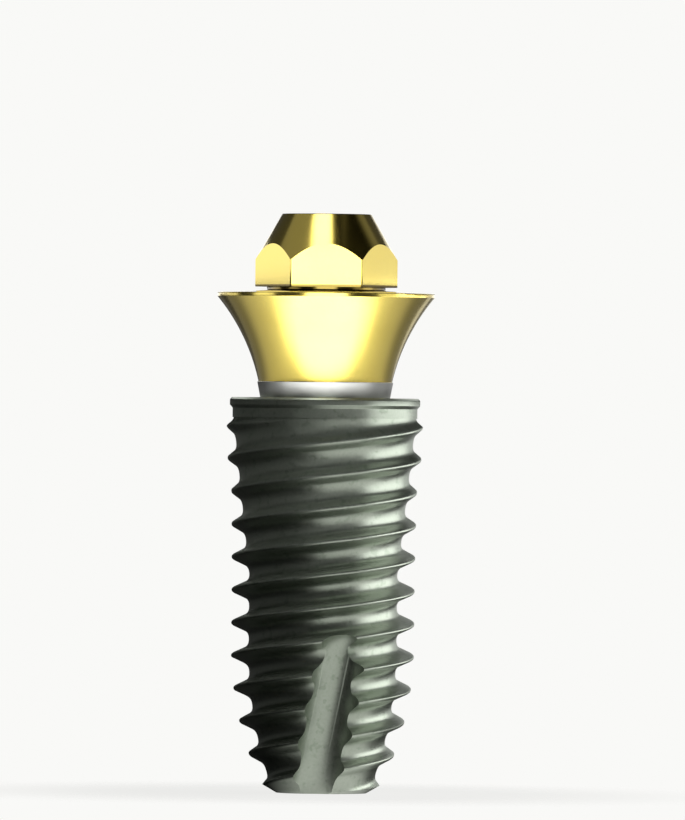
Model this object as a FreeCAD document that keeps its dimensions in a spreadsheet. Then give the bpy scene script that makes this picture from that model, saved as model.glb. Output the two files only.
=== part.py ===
import FreeCAD, Part
import Sketcher
import math
import os

# Dental implant fixture with its one-piece screw abutment, in millimetres.
# +Z runs up the common axis, z = 0 is the apex face of the fixture, and one
# cutting flute and one flat of the abutment's hexagon face -Y.

Vector = FreeCAD.Vector
AXIS = Vector(0, 0, 1)
ORIGIN = Vector(0, 0, 0)
# The bone thread is made of strips of this share of a turn, each edge held by points at the ends of
# this many spans, and strips are sewn where their edges are this close.
STRIP = 0.5
SPANS = 8
SEAM = 1e-4

doc = FreeCAD.newDocument("screw_abutment_on_fixture")
sheet = doc.addObject("Spreadsheet::Sheet", "sizes")

SIZES = {
    # implant fixture, heights above its apex face
    "fixture_length": 10.0,
    "platform_radius": 2.36,
    "platform_bevel": 0.06,
    "lip_radius": 2.41,
    "lip_height": 0.27,
    "lip_slope_height": 0.08,
    "neck_radius": 2.34,
    "neck_height": 0.24,
    # bone thread
    "thread_pitch": 0.832,
    "thread_starts": 2,
    "thread_lift": 0.128,
    "crest_radius": 2.32,
    "crest_taper": 0.8,
    "crest_tip_round": 8.04,
    "root_radius": 1.87,
    "root_taper": 6.3,
    "root_tip_round": 10.69,
    "tip_height": 3.7,
    # depths below the platform at which the thread widens and fades
    "taper_depth": 4.5,
    "flare_depth": 2.4,
    "flare_height": 1.15,
    "flare_radius": 2.49,
    "fade_depth": 0.72,
    "fade_height": 0.21,
    "fade_bury": 0.02,
    "fade_overlap": 0.1,
    "tooth_base_width": 0.72,
    "tooth_flank_width": 0.36,
    "tooth_fillet_share": 0.22,
    # apex and cutting flutes
    "apex_radius": 1.14,
    "apex_chamfer_angle": 30.0,
    "flute_count": 3,
    "flute_cutter_radius": 0.66,
    "flute_floor_radius": 1.03,
    "flute_offset": 0.18,
    "flute_lean": 11.3,
    "flute_rise": 11.3,
    "flute_top": 3.45,
    # conical connection, depths below the platform
    "cone_mouth_radius": 1.66,
    "cone_half_angle": 11.0,
    "cone_depth": 2.95,
    "cone_clearance": 0.015,
    "socket_hex_across": 2.5,
    "socket_hex_depth": 3.25,
    "bore_depth": 6.5,
    "drill_half_angle": 59.0,
    # abutment, heights above the platform
    "collar_height": 0.40,
    "cuff_step": 0.03,
    "cuff_height": 2.25,
    "cuff_curve_radius": 5.1,
    "margin_radius": 2.75,
    "margin_land": 0.1,
    "shoulder_slope": 3.0,
    "groove_radius": 1.5,
    "groove_height": 0.085,
    "head_height": 2.0,
    "hex_across": 3.14,
    "hex_corner_radius": 1.8,
    "head_cone_half_angle": 30.0,
    "head_top_radius": 1.13,
    # threaded end of the abutment, depths below the platform
    "screw_radius": 1.0,
    "screw_clearance": 0.04,
    "screw_end_depth": 6.0,
    "screw_start_depth": 3.45,
    "screw_neck_radius": 0.74,
    "screw_neck_top": 3.2,
    "screw_point_radius": 0.7,
    "screw_point_angle": 45.0,
    # prosthetic screw hole in the head
    "hole_radius": 0.625,
    "hole_depth": 3.0,
    "hole_mouth_radius": 0.82,
    "hole_mouth_depth": 0.15,
}
for row, (word, value) in enumerate(SIZES.items(), start=1):
    sheet.set("A%d" % row, word)
    sheet.set("B%d" % row, repr(value))
    sheet.setAlias("B%d" % row, word)
doc.recompute()


def size(word):
    """The value that the sheet holds under this word."""
    return float(getattr(sheet, word))


def tangent(degrees):
    return math.tan(math.radians(degrees))


def origin_plane(body, role):
    """The body's own origin plane with this role."""
    return next(plane for plane in body.Origin.OriginFeatures if plane.Role == role)


def place_feature(name, shape):
    """A feature that holds a shape made here from the sheet's sizes."""
    feature = doc.addObject("Part::Feature", name)
    feature.Shape = shape
    return feature


def crest_radius_at(height):
    """Radius of the bone thread's crest at this height: round tip, parallel stretch, flare, fade."""
    if height < size("tip_height"):
        drop = size("tip_height") - height
        ball = size("crest_tip_round")
        return size("crest_radius") - ball + math.sqrt(ball**2 - drop**2)
    depth = size("fixture_length") - height
    waist = size("crest_radius") + max(0.0, size("taper_depth") - depth) * tangent(size("crest_taper"))
    if depth > size("flare_depth"):
        return waist
    if depth > size("fade_depth"):
        share = min(1.0, (size("flare_depth") - depth) / size("flare_height"))
        return waist + share * (size("flare_radius") - waist)
    share = (size("fade_depth") - depth) / size("fade_height")
    return size("flare_radius") + share * (size("neck_radius") - size("fade_bury") - size("flare_radius"))


def root_radius_at(height):
    """Radius of the core between the teeth: round tip, parallel stretch, then a cone to the neck."""
    if height < size("tip_height"):
        drop = size("tip_height") - height
        ball = size("root_tip_round")
        return size("root_radius") - ball + math.sqrt(ball**2 - drop**2)
    depth = size("fixture_length") - height
    return size("root_radius") + max(0.0, size("taper_depth") - depth) * tangent(size("root_taper"))


def fillet_radius_at(height):
    """Radius at which a tooth's straight flank meets the hollow that leads into the core."""
    core = root_radius_at(height)
    return core + size("tooth_fillet_share") * (crest_radius_at(height) - core)


def helix_edge(radius_at, lead, shift, phase, first, last):
    """A smooth edge that climbs one lead a turn, from turn `first` to turn `last`."""
    route = []
    for step in range(SPANS + 1):
        turn = first + (last - first) * step / SPANS
        angle = 2 * math.pi * turn + phase
        height = lead * turn + shift
        radius = radius_at(height)
        route.append(Vector(radius * math.cos(angle), radius * math.sin(angle), height))
    curve = Part.BSplineCurve()
    curve.interpolate(route)
    return curve.toShape()


def threaded_bar(bottom, top):
    """The bone thread as a solid bar between two level ends.

    Flanks, hollows and core are ruled strips that climb side by side and are sewn along their edges.
    """
    pitch = size("thread_pitch")
    starts = int(size("thread_starts"))
    lift = size("thread_lift")
    lead = pitch * starts
    first = math.floor((bottom - lift - 2 * pitch) / lead / STRIP) * STRIP
    last = math.ceil((top - lift + 2 * pitch) / lead / STRIP) * STRIP
    base = size("tooth_base_width") / 2
    flank = size("tooth_flank_width") / 2
    across = [
        (root_radius_at, base),
        (fillet_radius_at, flank),
        (crest_radius_at, 0.0),
        (fillet_radius_at, -flank),
        (root_radius_at, -base),
        (root_radius_at, base - pitch),
    ]
    strips = []
    for start in range(starts):
        phase = 2 * math.pi * start / starts
        for step in range(int(round((last - first) / STRIP))):
            begin = first + step * STRIP
            rails = [
                helix_edge(radius_at, lead, shift + lift, phase, begin, begin + STRIP)
                for radius_at, shift in across
            ]
            strips += [Part.makeRuledSurface(rails[n], rails[n + 1]) for n in range(len(rails) - 1)]
    skin = Part.makeShell(strips)
    skin.sewShape(SEAM)
    reach = 2 * size("flare_radius")
    window = Part.makeBox(2 * reach, 2 * reach, top - bottom, Vector(-reach, -reach, bottom))
    trimmed = skin.common(window)
    faces = list(trimmed.Faces)
    for level in (bottom, top):
        rim = [
            edge
            for edge in trimmed.Edges
            if abs(edge.BoundBox.ZMin - level) < SEAM and abs(edge.BoundBox.ZMax - level) < SEAM
        ]
        faces.append(Part.Face(Part.Wire(Part.__sortEdges__(rim))))
    closed = Part.makeShell(faces)
    closed.sewShape(SEAM)
    return Part.makeSolid(closed)


def turned(name, outline):
    """A solid turned about the axis from a closed outline of (radius, height) points."""
    corners = [Vector(radius, 0, height) for radius, height in outline]
    profile = Part.Face(Part.makePolygon(corners + corners[:1]))
    return place_feature(name, profile.revolve(ORIGIN, AXIS, 360))


def number(expression):
    """What an expression in the sheet's words comes to."""
    return float(sheet.evalExpression(expression))


def outline_sketch(body, name, role, outline):
    """A sketch of a closed outline, each corner held by its own two expressions.

    A corner with a third entry starts an arc of that radius, curving inwards, to the next corner.
    """
    sketch = body.newObject("Sketcher::SketchObject", name)
    sketch.AttachmentSupport = [(origin_plane(body, role), "")]
    sketch.MapMode = "FlatFace"
    corners = [Vector(number(corner[0]), number(corner[1]), 0) for corner in outline]
    heads = []
    for place, corner in enumerate(outline):
        here = corners[place]
        after = corners[(place + 1) % len(corners)]
        if len(corner) == 2:
            index = sketch.addGeometry(Part.LineSegment(here, after), False)
            heads.append((index, 1, 2))
            continue
        radius = number(corner[2])
        chord = after - here
        middle = (here + after) * 0.5
        side = Vector(chord.y, -chord.x, 0).normalize()
        centre = middle + side * math.sqrt(radius**2 - (chord.Length / 2) ** 2)
        begin = math.atan2(after.y - centre.y, after.x - centre.x)
        end = math.atan2(here.y - centre.y, here.x - centre.x)
        circle = Part.Circle(centre, Vector(0, 0, 1), radius)
        index = sketch.addGeometry(Part.ArcOfCircle(circle, begin, end), False)
        heads.append((index, 2, 1))
        constraint = sketch.addConstraint(Sketcher.Constraint("Radius", index, radius))
        sketch.setExpression("Constraints[%d]" % constraint, corner[2])
    for place, (index, first, last) in enumerate(heads):
        following, following_first, _ = heads[(place + 1) % len(heads)]
        sketch.addConstraint(Sketcher.Constraint("Coincident", index, last, following, following_first))
        for kind, expression, value in (
            ("DistanceX", outline[place][0], corners[place].x),
            ("DistanceY", outline[place][1], corners[place].y),
        ):
            if expression == "0":
                axis = -2 if kind == "DistanceX" else -1
                sketch.addConstraint(Sketcher.Constraint("PointOnObject", index, first, axis))
                continue
            constraint = sketch.addConstraint(Sketcher.Constraint(kind, -1, 1, index, first, value))
            sketch.setExpression("Constraints[%d]" % constraint, expression)
    return sketch


def bind(thing, **expressions):
    """Ties properties of a feature to expressions in the sheet's words."""
    for name, expression in expressions.items():
        thing.setExpression(name.replace("_at_", ".Base."), expression)
    return thing


# The threaded body of the fixture, up to a little way into the neck that its thread fades into.
length = size("fixture_length")
lip_bottom = length - size("lip_height")
neck_bottom = lip_bottom - size("neck_height")
thread_body = place_feature("thread_body", threaded_bar(0.0, neck_bottom + size("fade_overlap")))

# The neck, and the lip under the platform.
neck = turned(
    "neck",
    [
        (0, neck_bottom),
        (size("neck_radius"), neck_bottom),
        (size("neck_radius"), lip_bottom),
        (size("lip_radius"), lip_bottom + size("lip_slope_height")),
        (size("lip_radius"), length - size("platform_bevel")),
        (size("platform_radius"), length),
        (0, length),
    ],
)
blank = doc.addObject("Part::Fuse", "fixture_blank")
blank.Base = thread_body
blank.Tool = neck

# The chamfer round the apex face.
outside = 2 * size("flare_radius")
apex_ring = turned(
    "apex_chamfer",
    [
        (size("apex_radius"), 0),
        (outside, (outside - size("apex_radius")) * tangent(size("apex_chamfer_angle"))),
        (outside, -size("apex_radius")),
        (size("apex_radius"), -size("apex_radius")),
    ],
)

# Cutting flutes: a ball-nosed cutter run up the side, leaning with the thread and rising out of the core.
across = tangent(size("flute_lean"))
outward = tangent(size("flute_rise"))
cutter_path = Vector(across, -outward, 1)
cutter_start = Vector(-size("flute_offset"), -size("flute_floor_radius") - size("flute_cutter_radius"), 0)
below = cutter_start - cutter_path * size("flute_cutter_radius")
above = cutter_start + cutter_path * size("flute_top")
cutters = []
for number_of_flute in range(int(size("flute_count"))):
    turn = FreeCAD.Rotation(AXIS, 360.0 * number_of_flute / size("flute_count"))
    shank = doc.addObject("Part::Cylinder", "flute_shank_%d" % number_of_flute)
    bind(shank, Radius="sizes.flute_cutter_radius")
    shank.Height = (above - below).Length
    shank.Placement = FreeCAD.Placement(turn.multVec(below), turn * FreeCAD.Rotation(AXIS, cutter_path))
    nose = doc.addObject("Part::Sphere", "flute_nose_%d" % number_of_flute)
    bind(nose, Radius="sizes.flute_cutter_radius")
    nose.Placement = FreeCAD.Placement(turn.multVec(above), turn * FreeCAD.Rotation(AXIS, cutter_path))
    cutter = doc.addObject("Part::Fuse", "flute_%d" % number_of_flute)
    cutter.Base = shank
    cutter.Tool = nose
    cutters.append(cutter)

# The conical connection: an 11 degree cone, the hexagon at its foot and the bore for the screw.
socket_cone = doc.addObject("Part::Cone", "socket_cone")
bind(
    socket_cone,
    Radius1="sizes.cone_mouth_radius - sizes.cone_depth * tan(sizes.cone_half_angle * 1deg)",
    Radius2="sizes.cone_mouth_radius",
    Height="sizes.cone_depth",
    Placement_at_z="sizes.fixture_length - sizes.cone_depth",
)
socket_hex = doc.addObject("Part::Prism", "socket_hex")
socket_hex.Polygon = 6
bind(
    socket_hex,
    Circumradius="sizes.socket_hex_across / sqrt(3)",
    Height="sizes.socket_hex_depth",
    Placement_at_z="sizes.fixture_length - sizes.socket_hex_depth",
)
socket_bore = doc.addObject("Part::Cylinder", "socket_bore")
bind(
    socket_bore,
    Radius="sizes.screw_radius + sizes.screw_clearance",
    Height="sizes.bore_depth",
    Placement_at_z="sizes.fixture_length - sizes.bore_depth",
)
drill_point = doc.addObject("Part::Cone", "drill_point")
bind(
    drill_point,
    Radius1="0",
    Radius2="sizes.screw_radius + sizes.screw_clearance",
    Height="(sizes.screw_radius + sizes.screw_clearance) / tan(sizes.drill_half_angle * 1deg)",
    Placement_at_z="sizes.fixture_length - sizes.bore_depth"
    " - (sizes.screw_radius + sizes.screw_clearance) / tan(sizes.drill_half_angle * 1deg)",
)
socket = doc.addObject("Part::MultiFuse", "socket")
socket.Shapes = [socket_cone, socket_hex, socket_bore, drill_point]

fixture = blank
for tool in [apex_ring, socket] + cutters:
    cut = doc.addObject("Part::Cut", "fixture_less_%s" % tool.Name)
    cut.Base = fixture
    cut.Tool = tool
    fixture = cut
fixture.Label = "fixture"
doc.recompute()

# The abutment, turned from one bar: screw, seat cone, collar, flared cuff, margin, shoulder, groove, head.
CONE_SLOPE = "tan(sizes.cone_half_angle * 1deg)"
SEAT_RADIUS = "sizes.cone_mouth_radius - sizes.cone_clearance"
MARGIN_TOP = "sizes.collar_height + sizes.cuff_height"
GROOVE_BOTTOM = (
    MARGIN_TOP + " + (sizes.margin_radius - sizes.groove_radius) * tan(sizes.shoulder_slope * 1deg)"
)
HEX_BOTTOM = GROOVE_BOTTOM + " + sizes.groove_height"
HEAD_TOP = MARGIN_TOP + " + sizes.head_height"
HEAD_CONE_BOTTOM = (
    HEAD_TOP
    + " - (sizes.hex_corner_radius - sizes.head_top_radius) / tan(sizes.head_cone_half_angle * 1deg)"
)
POINT_TOP = (
    "(sizes.screw_radius - sizes.screw_point_radius) * tan(sizes.screw_point_angle * 1deg)"
    " - sizes.screw_end_depth"
)

turned_body = doc.addObject("PartDesign::Body", "abutment_body")
bind(turned_body, Placement_at_z="sizes.fixture_length")
profile = outline_sketch(
    turned_body,
    "abutment_profile",
    "XZ_Plane",
    [
        ("0", "-sizes.screw_end_depth"),
        ("sizes.screw_point_radius", "-sizes.screw_end_depth"),
        ("sizes.screw_radius", POINT_TOP),
        ("sizes.screw_radius", "-sizes.screw_start_depth"),
        ("sizes.screw_neck_radius", "-sizes.screw_start_depth"),
        ("sizes.screw_neck_radius", "-sizes.screw_neck_top"),
        (SEAT_RADIUS + " - sizes.cone_depth * " + CONE_SLOPE, "-sizes.cone_depth"),
        (SEAT_RADIUS + " + sizes.collar_height * " + CONE_SLOPE, "sizes.collar_height"),
        (
            SEAT_RADIUS + " + sizes.collar_height * " + CONE_SLOPE + " - sizes.cuff_step",
            "sizes.collar_height",
            "sizes.cuff_curve_radius",
        ),
        ("sizes.margin_radius", MARGIN_TOP + " - sizes.margin_land"),
        ("sizes.margin_radius", MARGIN_TOP),
        ("sizes.groove_radius", GROOVE_BOTTOM),
        ("sizes.groove_radius", HEX_BOTTOM),
        ("sizes.hex_corner_radius", HEX_BOTTOM),
        ("sizes.hex_corner_radius", HEAD_CONE_BOTTOM),
        ("sizes.head_top_radius", HEAD_TOP),
        ("0", HEAD_TOP),
    ],
)
revolution = turned_body.newObject("PartDesign::Revolution", "abutment_turned")
revolution.Profile = profile
revolution.ReferenceAxis = (profile, ["V_Axis"])
revolution.Angle = 360
doc.recompute()

# The blind hole for the prosthetic screw, with a lead-in at its mouth and the drill's point.
hole_profile = outline_sketch(
    turned_body,
    "hole_profile",
    "XZ_Plane",
    [
        ("0", HEAD_TOP + " - sizes.hole_depth - sizes.hole_radius / tan(sizes.drill_half_angle * 1deg)"),
        ("sizes.hole_radius", HEAD_TOP + " - sizes.hole_depth"),
        ("sizes.hole_radius", HEAD_TOP + " - sizes.hole_mouth_depth"),
        ("sizes.hole_mouth_radius", HEAD_TOP),
        ("0", HEAD_TOP),
    ],
)
hole = turned_body.newObject("PartDesign::Groove", "prosthetic_screw_hole")
hole.Profile = hole_profile
hole.ReferenceAxis = (hole_profile, ["V_Axis"])
hole.Angle = 360
doc.recompute()

# The hexagon that the driver turns, milled down into the head's cone and out into the groove.
flats = turned_body.newObject("Sketcher::SketchObject", "hex_flats")
flats.AttachmentSupport = [(origin_plane(turned_body, "XY_Plane"), "")]
flats.MapMode = "FlatFace"
bind(flats, AttachmentOffset_at_z=HEAD_TOP)
corner_radius = number("sizes.hex_across / sqrt(3)")
sides = 6
hexagon = [
    Vector(corner_radius * math.cos(2 * math.pi * n / sides), corner_radius * math.sin(2 * math.pi * n / sides), 0)
    for n in range(sides)
]
for n in range(sides):
    flats.addGeometry(Part.LineSegment(hexagon[n], hexagon[(n + 1) % sides]), False)
for n in range(sides):
    flats.addConstraint(Sketcher.Constraint("Coincident", n, 2, (n + 1) % sides, 1))
construction = flats.addGeometry(Part.Circle(ORIGIN, AXIS, corner_radius), True)
flats.addConstraint(Sketcher.Constraint("Coincident", construction, 3, -1, 1))
for n in range(sides):
    flats.addConstraint(Sketcher.Constraint("PointOnObject", n, 1, construction))
for n in range(1, sides):
    flats.addConstraint(Sketcher.Constraint("Equal", 0, n))
flats.addConstraint(Sketcher.Constraint("PointOnObject", 0, 1, -1))
across_corners = flats.addConstraint(Sketcher.Constraint("Radius", construction, corner_radius))
flats.setExpression("Constraints[%d]" % across_corners, "sizes.hex_across / sqrt(3)")
clear_of_head = flats.addGeometry(Part.Circle(ORIGIN, AXIS, size("margin_radius")), False)
flats.addConstraint(Sketcher.Constraint("Coincident", clear_of_head, 3, -1, 1))
clear_radius = flats.addConstraint(Sketcher.Constraint("Radius", clear_of_head, size("margin_radius")))
flats.setExpression("Constraints[%d]" % clear_radius, "sizes.margin_radius")
milled = turned_body.newObject("PartDesign::Pocket", "hex_milled")
milled.Profile = flats
bind(milled, Length=HEAD_TOP + " - (" + HEX_BOTTOM + ") + sizes.groove_height / 2")
doc.recompute()

abutment = turned_body
abutment.Label = "abutment"
doc.recompute()

for thing in doc.Objects:
    for trouble in ("Invalid", "Error"):
        if trouble in thing.State:
            raise RuntimeError("%s is %s" % (thing.Label, trouble))
os.makedirs("parts", exist_ok=True)
for thing in (fixture, abutment):
    shape = thing.Shape
    if shape.isNull() or not shape.isValid() or len(shape.Solids) != 1:
        raise RuntimeError("%s is not one good solid" % thing.Label)
    shape.exportStep("parts/%s.step" % thing.Label)
    print(thing.Label, "volume", round(shape.Volume, 3), "faces", len(shape.Faces), "height", shape.BoundBox.ZMax)
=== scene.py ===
# %% [markdown]
# # A dental implant fixture with its screw abutment
#
# The real object is two turned titanium parts. The grey fixture is a tapered
# screw that is set into the jaw. The gold abutment is screwed into its top and
# carries the crown. Together they are as long as a thumbnail is wide, so the
# shapes below are worked out in millimetres and shrunk to metres at the end.

# %% [markdown]
# ## The frame
# The measured model is loaded first. Everything that is made here has to fit
# it, so the fixture's length, the head's top and the screw's tip are read from its boxes.

# %% Load the frame
import math

import bmesh
import bpy
from mathutils import Matrix, Vector


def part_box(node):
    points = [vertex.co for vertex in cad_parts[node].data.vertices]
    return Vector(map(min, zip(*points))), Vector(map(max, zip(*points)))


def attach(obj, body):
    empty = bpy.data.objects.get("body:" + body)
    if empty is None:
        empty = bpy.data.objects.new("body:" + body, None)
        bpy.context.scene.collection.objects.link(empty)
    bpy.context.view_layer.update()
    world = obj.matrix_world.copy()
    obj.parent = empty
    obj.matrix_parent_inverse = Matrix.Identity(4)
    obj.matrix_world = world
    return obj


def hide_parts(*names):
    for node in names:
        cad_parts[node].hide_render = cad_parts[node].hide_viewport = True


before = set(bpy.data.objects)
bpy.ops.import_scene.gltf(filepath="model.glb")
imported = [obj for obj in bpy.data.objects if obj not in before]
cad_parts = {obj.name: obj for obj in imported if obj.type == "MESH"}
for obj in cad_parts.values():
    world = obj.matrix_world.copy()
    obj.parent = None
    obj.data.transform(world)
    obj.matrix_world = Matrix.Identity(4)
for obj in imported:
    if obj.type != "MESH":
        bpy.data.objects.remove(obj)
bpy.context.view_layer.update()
MM = 0.001
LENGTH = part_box("fixture")[1][2] / MM
HEAD_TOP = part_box("abutment")[1][2] / MM
SCREW_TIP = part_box("abutment")[0][2] / MM
print("fixture", round(LENGTH, 2), "mm long, head from there up to", round(HEAD_TOP, 2), "mm")

# %% [markdown]
# ## Turning on a lathe
# Both parts start as bar in a lathe, so their shapes are outlines spun round an
# axis. Blender's Screw modifier could spin them too, but here a corner may have a
# third number, the radius of the small round that the tool leaves. Without those
# rounds no edge would catch the light.

# %% Outlines with rounded corners
ROUND_STEPS = 4


def rounded(corners):
    """The points of an outline, with a round at each corner that names a radius."""
    points = []
    for place, corner in enumerate(corners):
        here = Vector(corner[:2])
        if len(corner) == 2:
            points.append(here)
            continue
        before = (Vector(corners[place - 1][:2]) - here).normalized()
        after = (Vector(corners[(place + 1) % len(corners)][:2]) - here).normalized()
        half = before.angle(after) / 2
        reach = corner[2] / math.tan(half)
        centre = here + (before + after).normalized() * corner[2] / math.sin(half)
        start = here + before * reach - centre
        turn = start.angle_signed(here + after * reach - centre)
        for step in range(ROUND_STEPS + 1):
            points.append(centre + Matrix.Rotation(-turn * step / ROUND_STEPS, 2) @ start)
    return points


bar_end = rounded([(0, 0), (1, 0, 0.1), (1, 1), (0, 1)])
print("a bar's end with one rounded corner has", len(bar_end), "points")

# %% The lathe
NO_RADIUS = 1e-9


def new_object(name, mesh_builder):
    """A mesh object made in millimetres by a bmesh function."""
    mesh = bpy.data.meshes.new(name)
    shape = bmesh.new()
    mesh_builder(shape)
    bmesh.ops.recalc_face_normals(shape, faces=shape.faces)
    shape.to_mesh(mesh)
    shape.free()
    made = bpy.data.objects.new(name, mesh)
    bpy.context.scene.collection.objects.link(made)
    print(name, len(mesh.polygons), "faces")
    return made


def turned(name, corners, segments=144):
    """A solid spun round the axis from an outline of (radius, height) corners."""
    points = rounded(corners)

    def build(shape):
        rings = []
        for point in points:
            if abs(point.x) < NO_RADIUS:
                rings.append([shape.verts.new((0, 0, point.y))] * segments)
                continue
            ring = []
            for n in range(segments):
                angle = 2 * math.pi * n / segments
                ring.append(shape.verts.new((point.x * math.cos(angle), point.x * math.sin(angle), point.y)))
            rings.append(ring)
        for lower, upper in zip(rings, rings[1:] + rings[:1]):
            for n in range(segments):
                after = (n + 1) % segments
                corners_of_face = [lower[n], lower[after], upper[after], upper[n]]
                different = list(dict.fromkeys(corners_of_face))
                if len(different) > 2:
                    shape.faces.new(different)

    return new_object(name, build)


def tangent(degrees):
    return math.tan(math.radians(degrees))


print("a slope of 45 degrees rises", round(tangent(45), 3), "mm in each mm")

# %% [markdown]
# ## Cutting a thread
# A thread is one tooth form carried round and up at the same time. A spiral curve
# with a bevel could carry it, but its ends and its changing radius are hard to
# steer. Here the rows of the mesh climb with the tooth, so its crest stays a clean
# line however fine the mesh is. After a full turn each row meets the row one lead
# above it, and the two ends are then sawn off square.

# %% One tooth
ROUND_AT = 0.55
ROUND_DEPTH = 0.985
CREST_END = 0.93
HOLLOW_STEPS = 5


def tooth_form(crest, flank, share, base):
    """One tooth as (height from its middle, part of its depth), with 1 at the crest and 0 at the core.

    The crest is rounded over its half width, the flank is straight down to its own
    half width and share of the depth, and a hollow leads from there into the core.
    """
    side = [
        (0.0, 1.0),
        (crest * ROUND_AT, ROUND_DEPTH),
        (crest, CREST_END),
        ((crest + flank) / 2, (CREST_END + share) / 2),
    ]
    bend = flank + (flank - crest) * share / (CREST_END - share)
    for step in range(HOLLOW_STEPS):
        t = step / HOLLOW_STEPS
        side.append(((1 - t) ** 2 * flank + 2 * t * (1 - t) * bend + t**2 * base, (1 - t) ** 2 * share))
    side.append((base, 0.0))
    return sorted([(-height, depth) for height, depth in side[1:]] + side)


BONE_TOOTH = tooth_form(crest=0.045, flank=0.165, share=0.32, base=0.40)
SCREW_TOOTH = tooth_form(crest=0.03, flank=0.135, share=0.2, base=0.185)
TAP_TOOTH = tooth_form(crest=0.03, flank=0.11, share=0.2, base=0.16)
print("a tooth is drawn with", len(BONE_TOOTH), "points")

# %% A bar with a thread
ON_PLANE = 1e-6


def saw_off(shape, level, side):
    """Cuts away what lies above the level (side 1) or below it (side -1), and closes the end."""
    cut = bmesh.ops.bisect_plane(
        shape,
        geom=shape.verts[:] + shape.edges[:] + shape.faces[:],
        dist=ON_PLANE,
        plane_co=(0, 0, level),
        plane_no=(0, 0, side),
        clear_outer=True,
    )
    rim = [item for item in cut["geom_cut"] if isinstance(item, bmesh.types.BMEdge)]
    bmesh.ops.edgeloop_fill(shape, edges=rim)


def threaded(name, core_at, crest_at, form, pitch, starts, lift, bottom, top, columns):
    """A closed bar with a right-hand thread between two square ends."""
    lead = pitch * starts
    first = math.floor((bottom - lift) / pitch) - starts - 1
    last = math.ceil((top - lift) / pitch) + 1

    def build(shape):
        grid = []
        for column in range(columns):
            angle = 2 * math.pi * column / columns
            line = []
            for tooth in range(first, last):
                for offset, share in form:
                    height = lift + tooth * pitch + offset + lead * column / columns
                    core = core_at(height)
                    radius = core + share * (crest_at(height) - core)
                    line.append(shape.verts.new((radius * math.cos(angle), radius * math.sin(angle), height)))
            grid.append(line)
        for column in range(columns):
            here = grid[column]
            after = grid[(column + 1) % columns]
            climb = starts * len(form) if column == columns - 1 else 0
            for row in range(len(here) - 1 - climb):
                shape.faces.new((here[row], after[row + climb], after[row + climb + 1], here[row + 1]))
        for level, side in ((bottom, -1), (top, 1)):
            saw_off(shape, level, side)

    return new_object(name, build)


# %% [markdown]
# ## Milling and drilling
# What the lathe can't make is cut away afterwards. Moving the thread's own points
# by hand would never give a clean flute, so each cutter is a solid of its own, and
# the exact solver takes it out of the work. That leaves true, crisp edges where a
# flute crosses the thread. The cutters are then thrown away.

# %% Cutting one solid with others
def combine(work, tools, operation):
    """The work joined with, cut by or kept inside all the tools, which are used up."""
    shelf = bpy.data.collections.new("tools")
    for tool in tools:
        shelf.objects.link(tool)
    change = work.modifiers.new(operation, "BOOLEAN")
    change.operation = operation
    change.operand_type = "COLLECTION"
    change.collection = shelf
    change.solver = "EXACT"
    bpy.context.view_layer.update()
    finished = bpy.data.meshes.new_from_object(work.evaluated_get(bpy.context.evaluated_depsgraph_get()))
    old = work.data
    work.modifiers.clear()
    work.data = finished
    bpy.data.meshes.remove(old)
    for tool in tools:
        bpy.data.objects.remove(tool)
    bpy.data.collections.remove(shelf)
    print(work.name, "after", operation, "has", len(finished.polygons), "faces")


def lay(tool, place, axis, turn):
    """Puts a tool's +Z along an axis at a place, all turned about the part's own axis."""
    stand = Vector(axis).to_track_quat("Z", "Y").to_matrix().to_4x4()
    tool.data.transform(Matrix.Rotation(turn, 4, "Z") @ Matrix.Translation(place) @ stand)
    return tool


# %% [markdown]
# ## Deburring
# Cutting leaves slivers where two faces almost meet, as a mill leaves a burr.
# Points closer than a thousandth of a millimetre are welded. Then the piece is
# shrunk to its real size, and only the edges sharper than an angle stay sharp. A
# Bevel modifier could soften those too, but it stumbles where many small faces
# meet, and the turned edges have their rounds already.

# %% Weld, shrink and smooth
WELD = 0.001


def polish(piece, crease):
    """Welds the slivers that cutting leaves, shrinks to metres and smooths all but the sharp edges."""
    shape = bmesh.new()
    shape.from_mesh(piece.data)
    bmesh.ops.remove_doubles(shape, verts=shape.verts, dist=WELD)
    bmesh.ops.dissolve_degenerate(shape, edges=shape.edges, dist=WELD)
    shape.to_mesh(piece.data)
    shape.free()
    piece.data.transform(Matrix.Scale(MM, 4))
    piece.data.shade_smooth()
    piece.data.set_sharp_from_angle(angle=math.radians(crease))
    print(piece.name, len(piece.data.polygons), "faces when polished")


# %% [markdown]
# ## The fixture's thread
# The thread has two starts, so it climbs 1.66 mm a turn and bites with twice as
# many teeth. Its core is a cone that rounds off at the tip, its crests stay
# almost parallel, and both open out to the neck. So the radius of each row is
# asked of two small functions of the height, one for the crest and one for the
# core. Tapers are in degrees. The heights where something changes are counted down
# from the platform, apart from the tip's own, so they follow the fixture's length.

# %% The radius of core and crest at a height
CREST = 2.32
CREST_TAPER = 0.8
CREST_TIP_ROUND = 8.04
CORE = 1.87
CORE_TAPER = 6.3
CORE_TIP_ROUND = 10.69
TIP_HEIGHT = 3.7
TAPER_FROM = LENGTH - 4.5
FLARE = 2.485
FLARE_FROM = LENGTH - 2.4
FLARE_HEIGHT = 1.15
FADE_FROM = LENGTH - 0.72
FADE_HEIGHT = 0.21
FADE_BURY = 0.02
NECK = 2.34
NECK_FROM = LENGTH - 0.51


def tip_round(radius, ball, height):
    """A radius that rounds off towards the tip on a large ball."""
    drop = max(0.0, TIP_HEIGHT - height)
    return radius - ball + math.sqrt(ball**2 - drop**2)


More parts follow.
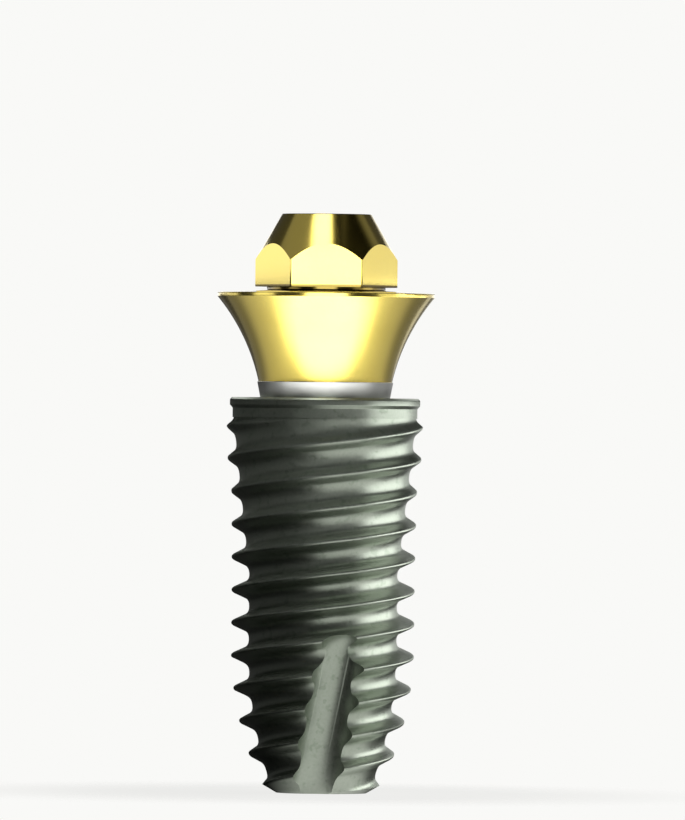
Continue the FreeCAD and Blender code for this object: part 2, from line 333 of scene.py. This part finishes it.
def crest_at(height):
    """The crest opens out to the flare, then sinks into the neck, where the thread fades out."""
    waist = tip_round(CREST, CREST_TIP_ROUND, height) + max(0.0, height - TAPER_FROM) * tangent(CREST_TAPER)
    if height < FADE_FROM:
        share = min(1.0, max(0.0, (height - FLARE_FROM) / FLARE_HEIGHT))
        return waist + share * (FLARE - waist)
    return FLARE + (height - FADE_FROM) / FADE_HEIGHT * (NECK - FADE_BURY - FLARE)


def core_at(height):
    return tip_round(CORE, CORE_TIP_ROUND, height) + max(0.0, height - TAPER_FROM) * tangent(CORE_TAPER)


for level in (0.0, TIP_HEIGHT, FLARE_FROM):
    crest, core = round(crest_at(level), 3), round(core_at(level), 3)
    print("at", round(level, 2), "mm up the crest's radius is", crest, "and the core's", core)

# %% The threaded bar
PITCH = 0.832
STARTS = 2
FIRST_CREST = 0.128
BURIED_IN_NECK = 0.1

fixture = threaded(
    "threaded_fixture",
    core_at,
    crest_at,
    BONE_TOOTH,
    pitch=PITCH,
    starts=STARTS,
    lift=FIRST_CREST,
    bottom=0.0,
    top=NECK_FROM + BURIED_IN_NECK,
    columns=200,
)

# %% [markdown]
# ## Neck and platform
# Over the thread comes a plain neck with a slightly wider lip, and its top is the
# platform that the abutment stands over. It is turned as a disc of its own and
# joined on, so that the fading thread runs into a true cylinder.

# %% The neck
LIP = 2.41
PLATFORM = 2.36
LIP_STEP = LENGTH - 0.27
LIP_LOW = LENGTH - 0.19
LIP_HIGH = LENGTH - 0.06
LIP_EDGE = 0.03
PLATFORM_EDGE = 0.02

neck = turned(
    "neck",
    [
        (0, NECK_FROM),
        (NECK, NECK_FROM),
        (NECK, LIP_STEP, LIP_EDGE),
        (LIP, LIP_LOW, LIP_EDGE),
        (LIP, LIP_HIGH, LIP_EDGE),
        (PLATFORM, LENGTH, PLATFORM_EDGE),
        (0, LENGTH),
    ],
)
combine(fixture, [neck], "UNION")

# %% [markdown]
# ## Socket, hexagon and bore
# The abutment sits in an 11 degree cone, which locks by friction. Below it is the
# hexagon for the driver that places the fixture, and the bore for the screw, with
# the point that a drill leaves. Cone and bore are one turned cutter, which reaches
# a little past the platform, so that no thin skin is left over the mouth. The
# hexagon is a second one, because a lathe can't turn it.

# %% Cutters for the inside
CONE_MOUTH = 1.66
CONE_HALF_ANGLE = 11.0
CONE_DEPTH = 2.95
CONE_FOOT = CONE_MOUTH - CONE_DEPTH * tangent(CONE_HALF_ANGLE)
MOUTH_CHAMFER = 0.03
BORE = 1.04
BORE_DEPTH = 6.5
DRILL_POINT = 59.0
SOCKET_HEX = 2.5
SOCKET_HEX_DEPTH = 3.25
SOCKET_HEX_TOP = 0.5
OVERSHOOT = 0.1

socket = turned(
    "socket",
    [
        (0, LENGTH - BORE_DEPTH - BORE / tangent(DRILL_POINT)),
        (BORE, LENGTH - BORE_DEPTH),
        (BORE, LENGTH - CONE_DEPTH),
        (CONE_FOOT, LENGTH - CONE_DEPTH),
        (CONE_MOUTH - MOUTH_CHAMFER * tangent(CONE_HALF_ANGLE), LENGTH - MOUTH_CHAMFER),
        (CONE_MOUTH + MOUTH_CHAMFER + OVERSHOOT, LENGTH + OVERSHOOT),
        (0, LENGTH + OVERSHOOT),
    ],
    segments=96,
)
wrench_hex = turned(
    "wrench_hex",
    [
        (0, LENGTH - SOCKET_HEX_DEPTH),
        (SOCKET_HEX / math.sqrt(3), LENGTH - SOCKET_HEX_DEPTH),
        (SOCKET_HEX / math.sqrt(3), LENGTH - SOCKET_HEX_TOP),
        (0, LENGTH - SOCKET_HEX_TOP),
    ],
    segments=6,
)

# %% [markdown]
# ## Tip and flutes
# The thread's last turns are trimmed to a flat tip with a chamfer. Three flutes
# are milled up it with a round-nosed cutter that leans sideways and outwards, so
# that the fixture cuts its own way into the bone. A long rod with a half ball on
# its end is that cutter, laid along the leaning path three times.

# %% Cutters for the tip
APEX = 1.14
APEX_SLOPE = 30.0
CHAMFER_REACH = 6.0
CHAMFER_LOW = 0.2
RUN_OUT = -1.0

chamfer = turned(
    "chamfer",
    [
        (APEX, 0),
        (CHAMFER_REACH, (CHAMFER_REACH - APEX) * tangent(APEX_SLOPE)),
        (CHAMFER_REACH, RUN_OUT),
        (APEX - tangent(90.0 - APEX_SLOPE) * CHAMFER_LOW, -CHAMFER_LOW),
    ],
    segments=96,
)

# %% Cutters for the flutes
FLUTES = 3
CUTTER = 0.66
FLUTE_FLOOR = 1.03
FLUTE_OFFSET = 0.18
FLUTE_LEAN = 11.3
FLUTE_TOP = 3.45
NOSE_STEP = 9

path = Vector((tangent(FLUTE_LEAN), -tangent(FLUTE_LEAN), 1))
nose = FLUTE_TOP * path.length
ball = [
    (CUTTER * math.cos(math.radians(angle)), nose + CUTTER * math.sin(math.radians(angle)))
    for angle in range(0, 90, NOSE_STEP)
]
cutters = []
for flute in range(FLUTES):
    rod = [(0, RUN_OUT), (CUTTER, RUN_OUT)] + ball + [(0, nose + CUTTER)]
    cutter = turned("flute_cutter", rod, segments=216)
    start = Vector((-FLUTE_OFFSET, -FLUTE_FLOOR - CUTTER, 0))
    cutters.append(lay(cutter, start, path, 2 * math.pi * flute / FLUTES))

# %% Cut and polish the fixture
combine(fixture, [socket, wrench_hex, chamfer] + cutters, "DIFFERENCE")
polish(fixture, crease=38)
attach(fixture, "fixture")
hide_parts("fixture")

# %% [markdown]
# ## The abutment's outline
# One piece, turned from one bar: a relieved neck over the screw, the 11 degree
# cone that locks in the fixture, the collar, the cuff that flares out to the
# margin of the crown, the undercut and the head. The cuff's hollow is one arc,
# which leaves the collar with a small step, so it is worked out from its two ends
# and its radius.

# %% Sizes of the cone, the collar and the cuff
SEAT_GAP = 0.015
SEAT = CONE_MOUTH - SEAT_GAP
COLLAR = 0.40
COLLAR_RADIUS = SEAT + COLLAR * tangent(CONE_HALF_ANGLE)
STEP = 0.03
MARGIN = 2.75
MARGIN_TOP = LENGTH + 2.65
LAND = 0.1
CUFF_CURVE = 5.1
CUFF_STEPS = 22


def cuff_points():
    """The hollow curve of the cuff, on one arc from the collar up to the margin."""
    start = Vector((COLLAR_RADIUS - STEP, LENGTH + COLLAR))
    end = Vector((MARGIN, MARGIN_TOP - LAND))
    chord = end - start
    side = Vector((chord.y, -chord.x)).normalized()
    centre = (start + end) / 2 + side * math.sqrt(CUFF_CURVE**2 - (chord.length / 2) ** 2)
    arm = start - centre
    turn = arm.angle_signed(end - centre)
    return [
        tuple(centre + Matrix.Rotation(-turn * step / CUFF_STEPS, 2) @ arm)
        for step in range(CUFF_STEPS + 1)
    ]


print("the cuff widens from", round(cuff_points()[0][0], 3), "to", MARGIN, "mm in radius")

# %% Turn the abutment
RELIEF = 0.74
RELIEF_FOOT = LENGTH - 3.6
RELIEF_TOP = LENGTH - 3.2
SHOULDER_SLOPE = 3.0
GROOVE = 1.5
GROOVE_BOTTOM = MARGIN_TOP + (MARGIN - GROOVE) * tangent(SHOULDER_SLOPE)
HEX_BOTTOM = GROOVE_BOTTOM + 0.085
HEX_CORNER = 1.8
HEAD_TOP_RADIUS = 1.13
HEAD_CONE = 30.0
EDGE = 0.02
FINE_EDGE = 0.01
SOFT_EDGE = 0.03

outline = [
    (0, RELIEF_FOOT),
    (RELIEF, RELIEF_FOOT),
    (RELIEF, RELIEF_TOP, EDGE),
    (SEAT - CONE_DEPTH * tangent(CONE_HALF_ANGLE), LENGTH - CONE_DEPTH, EDGE),
    (COLLAR_RADIUS, LENGTH + COLLAR, FINE_EDGE),
]
outline += cuff_points()
outline += [
    (MARGIN, MARGIN_TOP, EDGE),
    (GROOVE, GROOVE_BOTTOM, SOFT_EDGE),
    (GROOVE, HEX_BOTTOM),
    (HEX_CORNER, HEX_BOTTOM, EDGE),
    (HEX_CORNER, HEAD_TOP - (HEX_CORNER - HEAD_TOP_RADIUS) / tangent(HEAD_CONE), EDGE),
    (HEAD_TOP_RADIUS, HEAD_TOP, SOFT_EDGE),
    (0, HEAD_TOP),
]
abutment = turned("screw_abutment", outline, segments=192)

# %% [markdown]
# ## The hexagon and the hole for the crown's screw
# A hexagon for the driver is milled down into the head's cone, and where its flats
# meet the cone they leave the round arches of a nut. The cutter is a thick ring
# with a six-sided hole. The M1.6 hole for the crown's own screw is drilled,
# countersunk and tapped: the tap is a threaded bar that is cut away.

# %% Mill the hexagon, tap the hole
HEX_ACROSS = 3.14
HEX_RUN_OUT = 0.04
HOLE = 0.625
HOLE_MAJOR = 0.79
HOLE_DEPTH = 3.0
HOLE_PITCH = 0.35
COUNTERSINK = 0.82
COUNTERSINK_DEPTH = 0.15
ABOVE_HEAD = 0.11
COUNTERSINK_ABOVE = 0.96

ring = turned(
    "around_hex",
    [
        (HEX_ACROSS / math.sqrt(3), HEX_BOTTOM - HEX_RUN_OUT),
        (2 * HEX_CORNER, HEX_BOTTOM - HEX_RUN_OUT),
        (2 * HEX_CORNER, HEAD_TOP + OVERSHOOT),
        (HEX_ACROSS / math.sqrt(3), HEAD_TOP + OVERSHOOT),
    ],
    segments=6,
)
tap = threaded(
    "tap",
    lambda height: HOLE,
    lambda height: HOLE_MAJOR,
    TAP_TOOTH,
    pitch=HOLE_PITCH,
    starts=1,
    lift=HEAD_TOP,
    bottom=HEAD_TOP - HOLE_DEPTH,
    top=HEAD_TOP + OVERSHOOT,
    columns=72,
)
drill = turned(
    "drill",
    [
        (0, HEAD_TOP - HOLE_DEPTH - HOLE / tangent(DRILL_POINT)),
        (HOLE, HEAD_TOP - HOLE_DEPTH),
        (HOLE, HEAD_TOP - COUNTERSINK_DEPTH),
        (COUNTERSINK, HEAD_TOP),
        (COUNTERSINK_ABOVE, HEAD_TOP + ABOVE_HEAD),
        (0, HEAD_TOP + ABOVE_HEAD),
    ],
    segments=96,
)
combine(abutment, [ring, tap, drill], "DIFFERENCE")

# %% [markdown]
# ## The M2 screw
# The abutment's lower end is a plain metric screw. A bump in the finish would not
# show at its edges when the abutment is lifted out, so it is a real thread. It runs
# from end to end, is kept inside an envelope that chamfers its tip and ends it at
# the top, and is then joined to the neck above it.

# %% Thread the lower end
SCREW_PITCH = 0.4
SCREW_CORE = 0.76
SCREW_CREST = 1.0
SCREW_TOP = LENGTH - 3.45
TIP_RADIUS = 0.6
CLEAR_OF_CREST = 1.05
TIP_CHAMFER = 0.35
TOP_CHAMFER = 0.25
ENVELOPE_TOP = LENGTH - 3.35
ENVELOPE_TOP_RADIUS = 0.7

screw = threaded(
    "screw",
    lambda height: SCREW_CORE,
    lambda height: SCREW_CREST,
    SCREW_TOOTH,
    pitch=SCREW_PITCH,
    starts=1,
    lift=SCREW_TIP,
    bottom=SCREW_TIP,
    top=SCREW_TOP,
    columns=96,
)
envelope = turned(
    "envelope",
    [
        (0, SCREW_TIP - OVERSHOOT),
        (TIP_RADIUS, SCREW_TIP - OVERSHOOT),
        (CLEAR_OF_CREST, SCREW_TIP + TIP_CHAMFER),
        (CLEAR_OF_CREST, SCREW_TOP - TOP_CHAMFER),
        (ENVELOPE_TOP_RADIUS, ENVELOPE_TOP),
        (0, ENVELOPE_TOP),
    ],
    segments=96,
)
combine(screw, [envelope], "INTERSECT")
combine(abutment, [screw], "UNION")
polish(abutment, crease=28)
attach(abutment, "abutment")
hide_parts("abutment")

# %% [markdown]
# ## Shader sums written as sums
# A material is easier to read as arithmetic than as a web of nodes. This class
# wraps one output of a node. Adding, taking away or multiplying two of them
# adds the Math node that does it, so a mask can be written in one line.

# %% A class for shader sums
class Value:
    """One output of a node, in sums with other outputs and with numbers."""

    def __init__(self, web, socket):
        self.web = web
        self.socket = socket

    def _math(self, operation, first, second):
        return self.web.node("ShaderNodeMath", dict(operation=operation), {0: first, 1: second})

    def __add__(self, other):
        return self._math("ADD", self, other)

    __radd__ = __add__

    def __sub__(self, other):
        return self._math("SUBTRACT", self, other)

    def __rsub__(self, other):
        return self._math("SUBTRACT", other, self)

    def __mul__(self, other):
        return self._math("MULTIPLY", self, other)

    __rmul__ = __mul__

    def size(self):
        """The value without its sign."""
        return self._math("ABSOLUTE", self, 0.0)

    def at_least(self, least):
        return self._math("MAXIMUM", self, least)

    def over(self, limit, blur):
        """0 below the limit and 1 above it, with a soft step of this width."""
        return self.web.node(
            "ShaderNodeMapRange",
            dict(interpolation_type="SMOOTHSTEP"),
            {"Value": self, "From Min": limit - blur / 2, "From Max": limit + blur / 2},
        )

    def under(self, limit, blur):
        return 1.0 - self.over(limit, blur)


# %% [markdown]
# ## One way to add any node
# Every other node comes from one method: its kind, its settings, and what feeds
# its sockets. A number or colour goes straight onto a socket, and a Value is
# linked to it. The world and the materials share this, and a finish adds its
# Principled shader.

# %% Classes for a web of nodes and for a finish
MIX_MASK, MIX_LOW, MIX_HIGH = 0, 6, 7
MIX_COLOUR = 2


class Web:
    """The nodes of a world or a material, with short ways to add to them."""

    def __init__(self, node_tree):
        self.nodes = node_tree.nodes
        self.links = node_tree.links

    def node(self, kind, settings=None, sockets=None, output=0):
        """Any node: its settings, what feeds its sockets, and which output is wanted."""
        made = self.nodes.new(kind)
        for name, value in (settings or {}).items():
            setattr(made, name, value)
        for name, value in (sockets or {}).items():
            self.feed(made.inputs[name], value)
        return Value(self, made.outputs[output])

    def feed(self, socket, value):
        if isinstance(value, Value):
            self.links.new(value.socket, socket)
        elif isinstance(value, tuple) and len(socket.default_value) == 4:
            socket.default_value = (*value, 1.0)
        else:
            socket.default_value = value

    def mix(self, mask, low, high):
        """A colour that goes from low to high as the mask goes from 0 to 1."""
        fed = {MIX_MASK: mask, MIX_LOW: low, MIX_HIGH: high}
        return self.node("ShaderNodeMix", dict(data_type="RGBA"), fed, output=MIX_COLOUR)

    def place(self):
        """Where the point lies on its own object, in metres."""
        return self.node("ShaderNodeTexCoord", output="Object")

    def along(self, axis):
        """How far along an axis the point lies, in metres."""
        split = self.node("ShaderNodeSeparateXYZ", {}, {"Vector": self.place()})
        return Value(self, split.socket.node.outputs[axis])

    def noise(self, scale, detail):
        """Clouds between 0 and 1, with this many of them in a metre."""
        return self.node("ShaderNodeTexNoise", {}, {"Vector": self.place(), "Scale": scale, "Detail": detail})


class Finish(Web):
    """One material, with short ways to reach its Principled shader."""

    def __init__(self, name, metallic, roughness):
        self.material = bpy.data.materials.new(name)
        self.material.use_nodes = True
        super().__init__(self.material.node_tree)
        self.shader = self.nodes["Principled BSDF"]
        self.shader.inputs["Metallic"].default_value = metallic
        self.shader.inputs["Roughness"].default_value = roughness

    def set(self, name, value):
        self.feed(self.shader.inputs[name], value)


def wear(piece, material):
    """Gives the piece this material alone."""
    piece.data.materials.clear()
    piece.data.materials.append(material)
    print(piece.name, "wears", material.name, "of", len(material.node_tree.nodes), "nodes")


# %% [markdown]
# ## Blasted and etched titanium
# The fixture is blasted and etched so that bone can hold on to it: a dark, even
# grey with a fine pitted grain. A picture of such a surface would need unwrapping,
# so three sizes of noise make it instead: a grain a fourteenth of a millimetre
# across, deeper pits, and wide clouds that keep the grey from looking flat.

# %% The fixture's finish
GRAIN_PER_METRE = 14000.0
PITS_PER_METRE = 5000.0
CLOUDS_PER_METRE = 500.0
TITANIUM_DARK = (0.25, 0.30, 0.232)
TITANIUM_PALE = (0.48, 0.51, 0.45)
PIT_RELIEF = 0.000006


def blasted_titanium():
    """Pits lie where a noise comes over a limit, and the grain roughens what lies between them."""
    finish = Finish("blasted_titanium", metallic=1.0, roughness=0.38)
    grain = finish.noise(GRAIN_PER_METRE, 3.0)
    pits = finish.noise(PITS_PER_METRE, 2.0).over(0.62, 0.12)
    clouds = finish.noise(CLOUDS_PER_METRE, 2.0)
    shade = clouds * 0.5 + grain * 0.5 - pits * 0.25
    finish.set("Base Color", finish.mix(shade, TITANIUM_DARK, TITANIUM_PALE))
    finish.set("Roughness", 0.30 + grain * 0.15)
    relief = grain * 0.6 + clouds * 0.2 - pits * 0.8
    bump = finish.node("ShaderNodeBump", {}, {"Height": relief, "Strength": 0.3, "Distance": PIT_RELIEF})
    finish.set("Normal", bump)
    return finish.material


wear(fixture, blasted_titanium())

# %% [markdown]
# ## Gold nitride above the collar, bare titanium below it
# The abutment is turned and then coated with titanium nitride, which makes it a
# pale greenish gold. Below the collar it is bare titanium, because a coating there
# would spoil the fit of the cone. One material holds both, parted by a soft step
# at the collar's height. In the undercut and on the hexagon's lower edge the colour
# is painted darker all the way round: painted shade, standing for the shadow under
# the hexagon. The fine rings that the lathe leaves are a noise that changes with
# the height alone.

# %% The abutment's finish
GOLD_PALE = (0.84, 0.67, 0.15)
GOLD_DEEP = (0.79, 0.61, 0.10)
# The colour of the painted shade in the undercut and on the hexagon's lower edge.
GOLD_PAINTED_SHADE = (0.20, 0.14, 0.01)
BARE = (0.40, 0.405, 0.385)
COATING_FROM = LENGTH + COLLAR
# The heights between which the painted shade lies, all the way round.
PAINTED_SHADE_FROM = MARGIN_TOP + 0.02
PAINTED_SHADE_TO = HEX_BOTTOM + 0.055
COATING_CLOUDS_PER_METRE = 700.0
RINGS_PER_METRE = 22000.0
RING_RELIEF = 0.000004


def coated_titanium():
    """Gold above the collar with a thin clear coat and a band of painted shade under the hexagon, bare and a
    little rougher below.
    """
    finish = Finish("gold_nitride_on_titanium", metallic=1.0, roughness=0.22)
    height = finish.along("Z")
    gold = height.over(COATING_FROM * MM, 0.012 * MM)
    clouds = finish.noise(COATING_CLOUDS_PER_METRE, 2.0)
    # corner is painted shade: a dark band from just over the shoulder up onto the hexagon's lower edge.
    corner = height.over(PAINTED_SHADE_FROM * MM, 0.02 * MM) * height.under(PAINTED_SHADE_TO * MM, 0.03 * MM)
    coating = finish.mix(corner, finish.mix(clouds, GOLD_DEEP, GOLD_PALE), GOLD_PAINTED_SHADE)
    finish.set("Base Color", finish.mix(gold, BARE, coating))
    finish.set("Roughness", 0.15 + clouds * 0.06 + (1.0 - gold) * 0.12)
    finish.set("Coat Weight", gold * 0.7)
    finish.set("Coat IOR", 1.5)
    finish.set("Coat Roughness", 0.15)
    turns = height * RINGS_PER_METRE
    rings = finish.node("ShaderNodeTexNoise", dict(noise_dimensions="1D"), {"W": turns, "Detail": 3.0})
    bump = finish.node("ShaderNodeBump", {}, {"Height": rings, "Strength": 0.10, "Distance": RING_RELIEF})
    finish.set("Normal", bump)
    return finish.material


wear(abutment, coated_titanium())

# %% [markdown]
# ## The camera
# The part is seen square from the side, with no perspective to speak of, so the
# camera stands far away with a long lens. An orthographic camera would do as well,
# but this one stays a real camera from every side. The part leans by about half a
# degree in the picture, and the camera rolls by as much.

# %% Place the camera
PIXELS_PER_MM = 39.5
IMAGE_WIDTH = 685
IMAGE_HEIGHT = 820
AXIS_AT_MIDDLE_ROW = 325.0
APEX_ROW = 793.0
ROLL = math.radians(0.6)
LENS = 600.0
SENSOR = 36.0

camera = bpy.data.objects.new("camera", bpy.data.cameras.new("camera"))
bpy.context.scene.collection.objects.link(camera)
camera.data.lens = LENS
camera.data.sensor_width = SENSOR
seen_height = IMAGE_HEIGHT / PIXELS_PER_MM * MM
distance = seen_height * LENS / SENSOR
aim_x = (IMAGE_WIDTH / 2 - AXIS_AT_MIDDLE_ROW) / PIXELS_PER_MM * MM
aim_z = (APEX_ROW - IMAGE_HEIGHT / 2) / PIXELS_PER_MM * MM
camera.location = (aim_x, -distance, aim_z)
camera.rotation_euler = (math.pi / 2, -ROLL, 0)
camera.data.clip_start = 0.01
camera.data.clip_end = 10.0
bpy.context.scene.camera = camera
print("camera", round(distance, 3), "m away, aimed", round(aim_z / MM, 2), "mm up")

# %% [markdown]
# ## Table and backdrop
# Polished metal shows little but what stands round it. A pale studio would wash it
# out, so the studio round the part is dark, and only the camera sees a pale
# backdrop. The table is dark to the metal too, apart from a bright field in front
# on the right. It fades into the backdrop, but keeps the shadow at the part's foot.

# %% The world
PALE = (0.947, 0.947, 0.930)
WHITE = (1.0, 1.0, 1.0)
DIM = 0.05

world = bpy.data.worlds.new("studio")
bpy.context.scene.world = world
world.use_nodes = True
sky = Web(world.node_tree)
around = Value(sky, sky.nodes["Background"].outputs[0])
sky.feed(sky.nodes["Background"].inputs["Color"], WHITE)
sky.feed(sky.nodes["Background"].inputs["Strength"], DIM)
backdrop = sky.node("ShaderNodeBackground", {}, {"Color": PALE})
in_sight = sky.node("ShaderNodeLightPath", output="Is Camera Ray")
whole_sky = sky.node("ShaderNodeMixShader", {}, {0: in_sight, 1: around, 2: backdrop})
sky.feed(sky.nodes["World Output"].inputs["Surface"], whole_sky)
print("backdrop", PALE, "and", DIM, "of white from all round")

# %% Flat sheets for table and cards
def flat_sheet(name, material, *faces):
    """A flat piece of the studio, each face given by its corners in millimetres."""
    mesh = bpy.data.meshes.new(name)
    corners = [Vector(corner) * MM for face in faces for corner in face]
    starts = range(0, len(corners), len(faces[0]))
    mesh.from_pydata(corners, [], [tuple(range(start, start + len(faces[0]))) for start in starts])
    sheet = bpy.data.objects.new(name, mesh)
    sheet.data.materials.append(material)
    bpy.context.scene.collection.objects.link(sheet)
    print(name, "of", len(mesh.polygons), "faces")
    return sheet


def level_sheet(level, x_low, x_high, y_low, y_high):
    """Corners of a level sheet."""
    return [(x_low, y_low, level), (x_high, y_low, level), (x_high, y_high, level), (x_low, y_high, level)]


def upright_sheet(start, end, low, high):
    """Corners of an upright sheet over a line from start to end."""
    return [(*start, low), (*end, low), (*end, high), (*start, high)]


# %% The table
TABLE_GREY = (0.10, 0.10, 0.10 * 0.985)
TABLE_GLOW = 0.86
TABLE_IN_METAL = 1.0
TABLE_HALF = 30
TABLE_FADE = 8 * MM
UNDER_TIP = -0.01


def table_top():
    """Pale to the camera, and in the metal dark apart from one field."""
    finish = Finish("table", metallic=0.0, roughness=0.9)
    finish.set("Base Color", TABLE_GREY)
    finish.set("Specular IOR Level", 0.0)
    reach = finish.node("ShaderNodeVectorMath", dict(operation="LENGTH"), {0: finish.place()}, output="Value")
    rim = reach.over(TABLE_FADE, TABLE_FADE)
    sight = finish.node("ShaderNodeLightPath", output="Is Camera Ray")
    mirrored = finish.node("ShaderNodeLightPath", output="Is Glossy Ray")
    field = finish.along("X").over(-0.8 * MM, 2.0 * MM) * finish.along("Y").under(-0.5 * MM, 1.5 * MM)
    share = sight * TABLE_GLOW + mirrored * field * TABLE_IN_METAL
    glow = finish.node("ShaderNodeEmission", {}, {"Color": finish.mix(share, (0, 0, 0), PALE)})
    lit = finish.node("ShaderNodeAddShader", {}, {0: Value(finish, finish.shader.outputs[0]), 1: glow})
    clear = finish.node("ShaderNodeBsdfTransparent")
    whole = finish.node("ShaderNodeMixShader", {}, {0: rim * sight, 1: lit, 2: clear})
    finish.feed(finish.nodes["Material Output"].inputs["Surface"], whole)
    return finish.material


flat_sheet("table", table_top(), level_sheet(UNDER_TIP, -TABLE_HALF, TABLE_HALF, -TABLE_HALF, TABLE_HALF))

# %% [markdown]
# ## Cards that glow in the metal
# A photographer lights polished metal with cards, because each bright patch on it
# is the picture of something that stands round it. These cards are seen in the
# metal alone: they cast no light on the table and no shadow. Each was placed where
# one surface looks when it is seen from the front, and its light was fitted to that
# one view. From the sides and from behind the same cards show wherever they happen
# to fall, and some highlights there come out plain white.

# %% A card, and the shapes that cards have
def card(name, light, *faces):
    """A glowing card: its light is a number, or a function that draws its pattern."""
    finish = Finish(name, metallic=0.0, roughness=1.0)
    level = light(finish) if callable(light) else (light, light, light)
    glow = finish.node("ShaderNodeEmission", {}, {"Color": level})
    finish.feed(finish.nodes["Material Output"].inputs["Surface"], glow)
    made = flat_sheet(name, finish.material, *faces)
    made.visible_camera = False
    made.visible_shadow = False
    made.visible_diffuse = False


def ring_faces(level, inner, outer, sides=48):
    """The faces of a level ring about the axis."""
    arms = [(math.cos(2 * math.pi * n / sides), math.sin(2 * math.pi * n / sides)) for n in range(sides)]
    faces = []
    for (x, y), (u, v) in zip(arms, arms[1:] + arms[:1]):
        near, far = (x * inner, y * inner, level), (x * outer, y * outer, level)
        next_far, next_near = (u * outer, v * outer, level), (u * inner, v * inner, level)
        faces.append([near, far, next_far, next_near])
    return faces


def band_faces(radius, low, high, first, last, sides=24):
    """The faces of an upright band about the axis, from one angle to another, in degrees from +X."""
    turns = [math.radians(first + (last - first) * n / sides) for n in range(sides + 1)]
    arms = [(radius * math.cos(turn), radius * math.sin(turn)) for turn in turns]
    return [upright_sheet(arm, after, low, high) for arm, after in zip(arms, arms[1:])]


# %% [markdown]
# ## Cards round the cuff
# The cuff leans outwards, so seen from the front it mirrors what lies below it.
# A ring at the platform's height is brightest in front and falls off to the back in
# three soft steps, and it is dark near the neck, as if the neck shaded it. A black
# ring under it keeps its glow off the threads.

# %% Light under the cuff
def under_cuff(finish):
    """Brightest in front, falling off in three soft steps to the back, and darker next to the neck."""
    to_side = (finish.along("X").size() - 2.0 * MM).at_least(0.0)
    to_front = to_side * 0.3 - finish.along("Y")
    bright = to_front.over(2.65 * MM, 0.6 * MM)
    middle = to_front.over(1.9 * MM, 1.2 * MM)
    dull = to_front.over(0.4 * MM, 2.4 * MM)
    flat = finish.node("ShaderNodeVectorMath", dict(operation="MULTIPLY"), {0: finish.place(), 1: (1, 1, 0)})
    off_axis = finish.node("ShaderNodeVectorMath", dict(operation="LENGTH"), {0: flat}, output="Value")
    clear_of_neck = 0.15 + off_axis.over(2.58 * MM, 0.16 * MM) * 0.85
    far_back = 0.17
    return (far_back + bright * 3.6 + middle * 0.28 + dull * 0.40) * clear_of_neck


CARD_LEVEL = LENGTH
CARD_INNER = LIP + 0.02
BLACK = 0.0
MARGIN_CARD_LOW = 12.6

card("under_cuff", under_cuff, *ring_faces(CARD_LEVEL, CARD_INNER, 7))
card("over_threads", BLACK, *ring_faces(CARD_LEVEL - 0.02, CARD_INNER, 7.2))
card("beside_cuff", 0.12, upright_sheet((8, -8), (8, 8), CARD_LEVEL, 12.4))
card("behind_cuff", 0.1, level_sheet(CARD_LEVEL, -9, 9, 8.5, 20))
card("behind_margin", 1.3, upright_sheet((-9, 12), (9, 12), MARGIN_CARD_LOW, 16))

# %% [markdown]
# ## Cards round the head
# The head's cone leans inwards and mirrors what hangs above: a bright strip just
# left of the middle, and a dull field further left. The hexagon's flats stand
# upright and look straight out, so each of the three in view has an upright card,
# and so have the corners between them. A black band keeps their glow out of the
# undercut.

# %% Light over and round the head
def over_head(finish):
    """A bright strip just left of the middle, a dull field to its left and dark to its right."""
    across = finish.along("X")
    front = finish.along("Y").under(-3.6 * MM, 1.0 * MM)
    strip = across.over(-4.6 * MM, 2.4 * MM) * across.under(1.5 * MM, 1.6 * MM) * front
    dull = across.under(-4.6 * MM, 2.0 * MM) * across.over(-16 * MM, 8 * MM)
    return strip * 4.0 + dull * 0.26


def beside_head(finish):
    """Dark in front, less so towards the back."""
    return finish.along("Y").over(1.8 * MM, 3.0 * MM) * 0.16


OVER_HEAD = 24.5
HEX_CARD_TOP = 14.6

card("over_head", over_head, level_sheet(OVER_HEAD, -20, 5, -9, 4))
card("beside_head", beside_head, [(5, -9, OVER_HEAD), (9, 6, OVER_HEAD), (10, 6, 17), (6, -4, 18)])
card("hex_front", 4.2, upright_sheet((-3, -9), (3, -9), 12.3, HEX_CARD_TOP))
card("under_hex", BLACK, *band_faces(3.2, MARGIN_TOP + 0.03, HEX_BOTTOM + 0.05, -35, 215))
for side, light in ((-1, 1.4), (1, 0.95)):
    card("hex_side", light, upright_sheet((side * 10, 1), (side * 4.6, 7), 12.85, 16))
    card("hex_corner", light, upright_sheet((side * 7, -6), (side * 9, -3), 12.75, HEX_CARD_TOP))

# %% [markdown]
# ## Soft lamps
# Three large soft lamps do the rest. The one on the right is more than twice as
# tall as the part. It lights the threads from one side and leaves the other side
# dark, which brings out their shape. A lamp's power is worked out from its size, so
# that its strength is how bright the lamp itself looks, where 1 is white.

# %% Lamps
def softbox(name, width, height, place, target, strength):
    """A soft lamp of the given radiance, aimed at the target, all in millimetres."""
    light = bpy.data.lights.new(name, "AREA")
    light.shape = "RECTANGLE"
    light.size = width * MM
    light.size_y = height * MM
    light.energy = strength * math.pi * width * height * MM**2
    lamp = bpy.data.objects.new(name, light)
    lamp.location = Vector(place) * MM
    aim = Vector(target) - Vector(place)
    lamp.rotation_euler = aim.to_track_quat("-Z", "Y").to_euler()
    lamp.visible_camera = False
    bpy.context.scene.collection.objects.link(lamp)
    print(name, width, "by", height, "mm at strength", strength)


softbox("right_wall", 48, 34, (34, 3, 7), (0, 3, 7), 2.7)
softbox("right_back", 36, 34, (20, 32, 7), (0, 0, 7), 0.6)
softbox("key", 26, 26, (34, -22, 44), (0, 0, 6), 0.3)

# %% [markdown]
# ## The end
# Colours are shown plainly, with no film look.

bpy.context.scene.view_settings.view_transform = "Standard"
